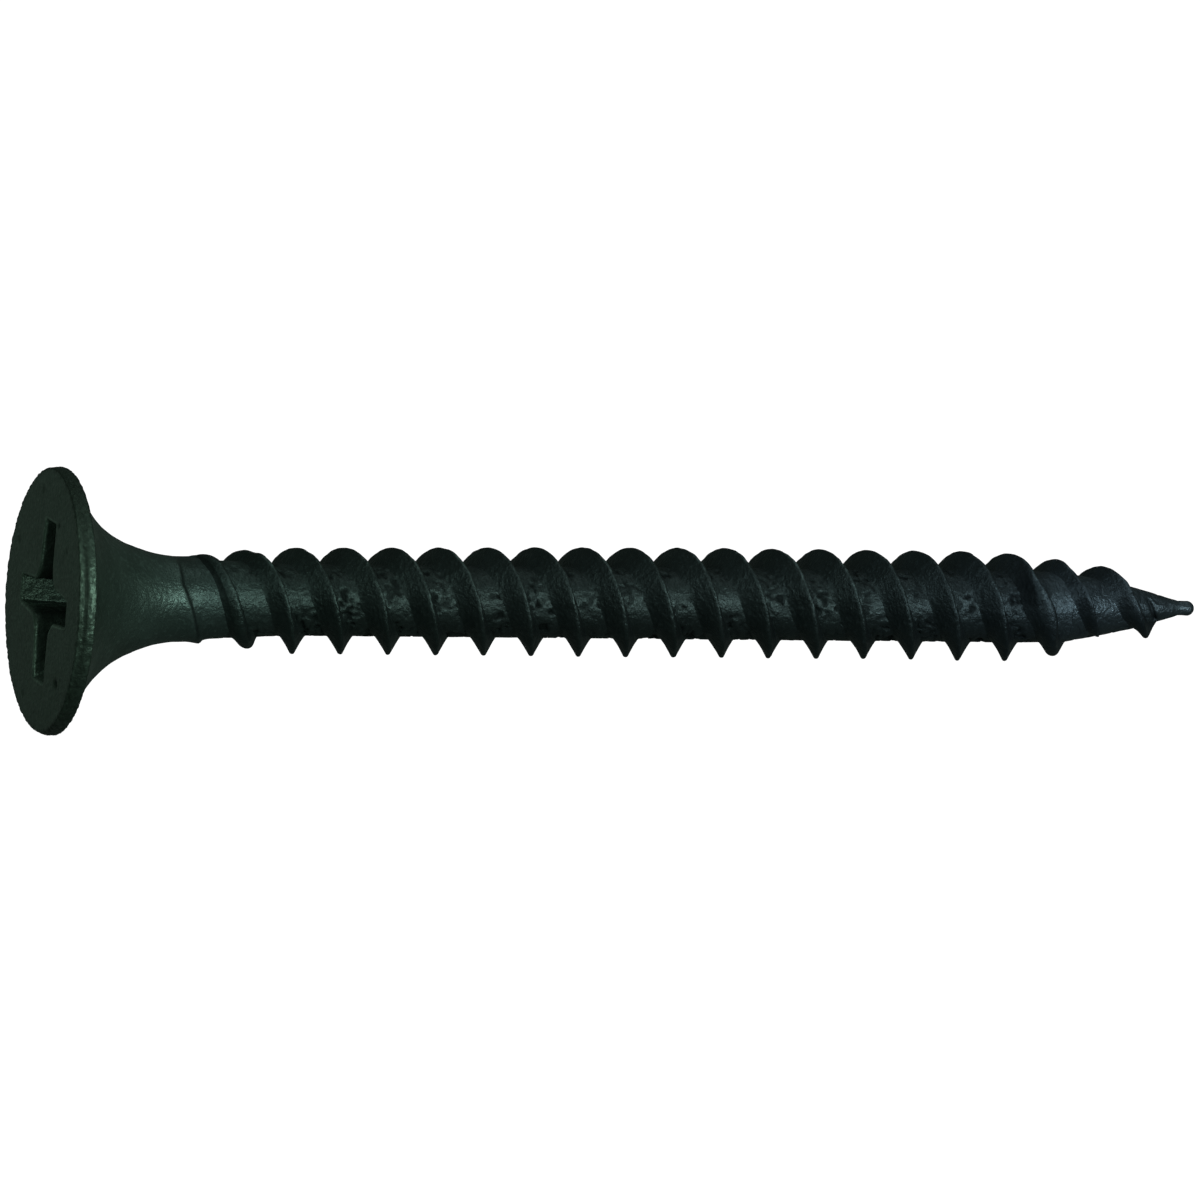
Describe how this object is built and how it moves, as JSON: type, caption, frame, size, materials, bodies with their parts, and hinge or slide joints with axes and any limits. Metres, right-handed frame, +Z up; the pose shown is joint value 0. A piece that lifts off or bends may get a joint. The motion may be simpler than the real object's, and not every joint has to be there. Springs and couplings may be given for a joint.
{
  "type": "wood screw",
  "caption": "Bugle-head wood screw with a cross recess, a coarse two-start right-hand thread and a sharp point, in black phosphated steel.",
  "frame": {"origin": "centre of the head's flat face, on the screw's axis", "axes": "+X along the screw's axis from the head to the point; +Z up, with the screw lying on its side"},
  "size_m": [0.0381, 0.0084, 0.0085],
  "materials": {
    "head_steel": "black phosphate, fine grain, satin",
    "thread_steel": "black phosphate over rolled steel, thin film of oil, satin"
  },
  "bodies": {
    "root": {"head": "head_steel", "neck": "head_steel", "core": "thread_steel", "thread_a": "thread_steel", "thread_b": "thread_steel", "point": "thread_steel"}
  },
  "joints": []
}
